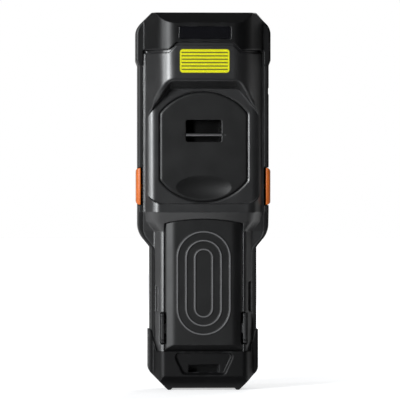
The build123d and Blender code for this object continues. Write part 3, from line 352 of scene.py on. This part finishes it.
# side is -1 for the left trigger and 1 for the right one
def makePad(name, side):
    low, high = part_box(name)
    outer, tip = (high.x, low.x) if side > 0 else (low.x, high.x)
    inner = outer - side * pads["thick"]
    middle = ((outer + inner) / 2, (low.y + high.y) / 2, (low.z + high.z) / 2)
    bpy.ops.object.select_all(action="DESELECT")
    bpy.ops.mesh.primitive_cube_add(size=1, location=middle)
    piece = bpy.context.object
    piece.name = name + "_pad"
    piece.scale = (pads["thick"], high.y - low.y, high.z - low.z)
    bpy.ops.object.transform_apply(location=True, rotation=True, scale=True)
    bpy.ops.object.mode_set(mode="EDIT")
    pickOuterEdges(piece.data, outer, high.y)
    bpy.ops.mesh.bevel(offset=pads["round"], segments=pads["steps"], affect="EDGES")
    bpy.ops.object.mode_set(mode="OBJECT")
    soft = piece.modifiers.new("soft", "BEVEL")  # takes the sharpness off the other edges
    soft.width = pads["edge"]
    soft.segments = pads["edgeSteps"]
    soft.angle_limit = math.radians(pads["sharp"])
    bpy.ops.object.modifier_apply(modifier="soft")
    corners = [corner.co for corner in nodes[name].data.vertices]
    stemY = [corner.y for corner in corners if side * (inner - corner.x) > pads["near"]]
    place = ((inner + tip) / 2, (min(stemY) + max(stemY)) / 2, middle[2])
    bpy.ops.mesh.primitive_cylinder_add(radius=pads["stemRadius"], depth=abs(inner - tip), location=place,
                                        rotation=(0, math.radians(90), 0))
    piece.select_set(True)
    bpy.context.view_layer.objects.active = piece
    bpy.ops.object.join()
    bpy.ops.object.shade_smooth_by_angle(angle=math.radians(pads["smooth"]))
    piece.data.materials.clear()
    piece.data.materials.append(nodes[name].data.materials[0])
    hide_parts(name)
    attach(piece, name)


makePad("left_trigger", -1)
makePad("right_trigger", 1)
print("trigger pads on")

# printed marks on the keys: one thin mesh for each key, which rides with it
legends = {"size": 0.0042, "wide": {"key_scan": 0.0095, "key_soft_left": 0.0055, "key_soft_right": 0.0055},
           "least": 0.68, "thick": 0.00004, "paint": (0.78, 0.78, 0.76), "rough": 0.45,
           "worn": 0.8, "speck": 0.0006, "speckDetail": 4.0, "speckBand": (0.3, 0.62),
           "marks": {"key_star": "*", "key_hash": "#", "key_up": "\u25b2", "key_down": "\u25bc",
                     "key_back": "\u25c0", "key_power": "\u23fb", "key_enter": "\u21b5", "key_tab": "\u21b9",
                     "key_escape": "\u2715", "key_function": "\u21e7", "key_soft_left": "\u2501",
                     "key_soft_right": "\u2501", "key_scan": "\u2503\u2503\u2503\u2503\u2503"}}


# white print, a little worn in specks
def legendPaint():
    tree = Tree("legend_white")
    wear = tree.spread(tree.noise(legends["speck"], legends["speckDetail"]), *legends["speckBand"])
    worn = [legends["worn"] * part for part in legends["paint"]]
    tree.put(tree.shader, "Base Color", tree.mix(wear, rgb(worn), rgb(legends["paint"])))
    tree.put(tree.shader, "Roughness", legends["rough"])
    return tree.mat


def makeLegend(name, mark, paint):
    low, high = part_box(name)
    bpy.ops.object.select_all(action="DESELECT")
    bpy.ops.object.text_add()
    bpy.context.object.data.body = mark
    bpy.context.object.data.align_x = "CENTER"
    bpy.ops.object.convert(target="MESH")
    piece = bpy.context.object
    piece.name = "legend_" + name
    across = [corner.co.x for corner in piece.data.vertices]
    up = [corner.co.y for corner in piece.data.vertices]
    spread = max(max(across) - min(across), max(up) - min(up), legends["least"])  # small marks stay small
    size = legends["wide"].get(name, legends["size"]) / spread
    middle = Vector(((min(across) + max(across)) / 2, (min(up) + max(up)) / 2, 0))
    place = Vector(((low.x + high.x) / 2, high.y + legends["thick"], (low.z + high.z) / 2))
    piece.scale = (size, size, size)
    piece.rotation_euler = (math.radians(90), 0, math.radians(180))  # upright, and facing the keys' side
    piece.location = place + Vector((middle.x * size, 0, -middle.y * size))
    bpy.ops.object.transform_apply(location=True, rotation=True, scale=True)
    piece.data.materials.append(paint)
    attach(piece, name)


def makeLegends():
    paint = legendPaint()
    digits = {f"key_{digit}": str(digit) for digit in range(10)}
    for name, mark in {**digits, **legends["marks"]}.items():
        makeLegend(name, mark, paint)


makeLegends()
print("key legends on")

# the floor, with the brightness that it shows to the camera near the terminal and far from it
stage = {"size": 12.0, "colour": (0.86, 0.86, 0.87), "rough": 0.6, "glow": (1.0, 1.0, 1.0),
         "near": 0.25, "far": 2.0, "nearShown": 0.52, "farShown": 0.82}


# one when a camera, glossy or transmission ray looks, nought for the light that falls on things
def lookingRay(tree):
    path = tree.nodes.new("ShaderNodeLightPath")
    seen = path.outputs["Is Camera Ray"]
    for other in ("Is Glossy Ray", "Is Transmission Ray"):
        join = tree.nodes.new("ShaderNodeMath")
        join.operation = "ADD"
        join.use_clamp = True
        tree.links.new(seen, join.inputs[0])
        tree.links.new(path.outputs[other], join.inputs[1])
        seen = join.outputs[0]
    return seen


def makeFloor():
    bpy.ops.object.select_all(action="DESELECT")
    bpy.ops.mesh.primitive_plane_add(size=stage["size"], location=(0, 0, 0))
    floor = bpy.context.object
    floor.name = "studio_floor"
    tree = Tree("floor_white")
    tree.put(tree.shader, "Base Color", rgb(stage["colour"]))
    tree.put(tree.shader, "Roughness", stage["rough"])
    tree.put(tree.shader, "Emission Color", rgb(stage["glow"]))
    away = tree.add("ShaderNodeVectorMath", operation="LENGTH")
    tree.put(away, 0, tree.place)
    shown = tree.spread(away.outputs["Value"], stage["near"], stage["far"],
                        stage["nearShown"], stage["farShown"])
    tree.put(tree.shader, "Emission Strength", tree.maths("MULTIPLY", lookingRay(tree.mat.node_tree), shown))
    floor.data.materials.append(tree.mat)


makeFloor()

# dark cards round the camera, seen only in reflections: middle, size, turn and how bright each is
cards = {
    "card_behind_camera": {"place": (0.75, -2.8, 1.2), "size": (4.1, 3.2), "turn": (90, 0, 0), "glow": 0.0},
    "card_right": {"place": (2.8, -0.4, 1.2), "size": (4.8, 3.2), "turn": (90, 0, 90), "glow": 0.05},
    "card_left": {"place": (-2.6, 0.4, 1.2), "size": (3.6, 3.2), "turn": (90, 0, 90), "glow": 0.0},
    "card_above": {"place": (0.5, -0.65, 2.8), "size": (5.0, 4.3), "turn": (0, 0, 0), "glow": 0.03},
    "card_on_floor": {"place": (0.7, -1.495, 0.0003), "size": (4.2, 2.75), "turn": (0, 0, 0), "glow": 0.0},
    "card_at_foot": {"place": (0.0, -0.0205, 0.0003), "size": (0.09, 0.021), "turn": (0, 0, 0), "glow": 0.0},
    "card_at_foot_right": {"place": (0.215, -0.08, 0.0003), "size": (0.39, 0.1), "turn": (0, 0, 0),
                           "glow": 0.0},
    "card_key_side": {"place": (0.0, 2.9, 1.2), "size": (2.2, 2.4), "turn": (90, 0, 0), "glow": 0.05},
}
cardPaint = {"colour": (0.0, 0.0, 0.0), "glow": (1.0, 1.0, 1.0), "gloss": 0.0}


def makeCards():
    bpy.ops.object.select_all(action="DESELECT")
    for name, look in cards.items():
        tree = Tree(name)
        tree.put(tree.shader, "Base Color", rgb(cardPaint["colour"]))
        tree.put(tree.shader, "Specular IOR Level", cardPaint["gloss"])
        tree.put(tree.shader, "Emission Color", rgb(cardPaint["glow"]))
        tree.put(tree.shader, "Emission Strength", look["glow"])
        turn = [math.radians(angle) for angle in look["turn"]]
        bpy.ops.mesh.primitive_plane_add(size=1, location=look["place"], rotation=turn)
        card = bpy.context.object
        card.name = name
        card.scale = (*look["size"], 1.0)
        card.data.materials.append(tree.mat)
        card.visible_camera = False
        card.visible_diffuse = False
        card.visible_transmission = False
        card.visible_shadow = False


makeCards()

surround = {"colour": (1.0, 1.0, 1.0), "ambient": 0.25, "shown": 1.0}


def makeWorld():
    world = bpy.data.worlds.new("studio")
    bpy.context.scene.world = world
    world.use_nodes = True
    tree = world.node_tree
    back = tree.nodes["Background"]
    level = tree.nodes.new("ShaderNodeMapRange")
    level.inputs["To Min"].default_value = surround["ambient"]
    level.inputs["To Max"].default_value = surround["shown"]
    tree.links.new(lookingRay(tree), level.inputs["Value"])
    back.inputs["Color"].default_value = rgb(surround["colour"])
    tree.links.new(level.outputs["Result"], back.inputs["Strength"])


makeWorld()

# each lamp is aimed at the middle of the terminal
lamps = {
    "near_softbox": {"place": (-0.84, -1.2, 0.4), "size": (0.22, 0.6), "power": 22},
    "side_softbox": {"place": (-1.27, -0.73, 0.4), "size": (0.22, 0.6), "power": 8},
    "front_fill": {"place": (0.6, 1.4, 0.7), "size": (0.8, 0.8), "power": 8},
}
lampColour = (0.96, 0.985, 1.0)  # a little cool


def makeLamps():
    target = Vector((0, 0, (cadLow.z + cadHigh.z) / 2))
    for name, look in lamps.items():
        lamp = bpy.data.lights.new(name, "AREA")
        lamp.shape = "RECTANGLE"
        lamp.size, lamp.size_y = look["size"]
        lamp.energy = look["power"]
        lamp.color = lampColour
        obj = bpy.data.objects.new(name, lamp)
        bpy.context.scene.collection.objects.link(obj)
        obj.location = look["place"]
        obj.rotation_euler = (target - obj.location).to_track_quat("-Z", "Y").to_euler()


makeLamps()

# the view: nearly square on to the battery side, turned a little to show more of the left side
view = {"azimuth": -2.5, "elevation": 0.3, "distance": 2.4, "width": 0.2426, "sensor": 36.0,
        "aim": (-0.0019, 0.0, 0.1149)}


def makeCamera():
    data = bpy.data.cameras.new("camera")
    camera = bpy.data.objects.new("camera", data)
    bpy.context.scene.collection.objects.link(camera)
    bpy.context.scene.camera = camera
    turn, rise = math.radians(view["azimuth"]), math.radians(view["elevation"])
    back = Vector((math.sin(turn) * math.cos(rise), -math.cos(turn) * math.cos(rise), math.sin(rise)))
    camera.location = Vector(view["aim"]) + back * view["distance"]
    camera.rotation_euler = (-back).to_track_quat("-Z", "Y").to_euler()
    data.sensor_width = view["sensor"]
    data.lens = view["sensor"] * view["distance"] / view["width"]


makeCamera()
bpy.context.scene.view_settings.view_transform = "Standard"
print("lights and camera placed")
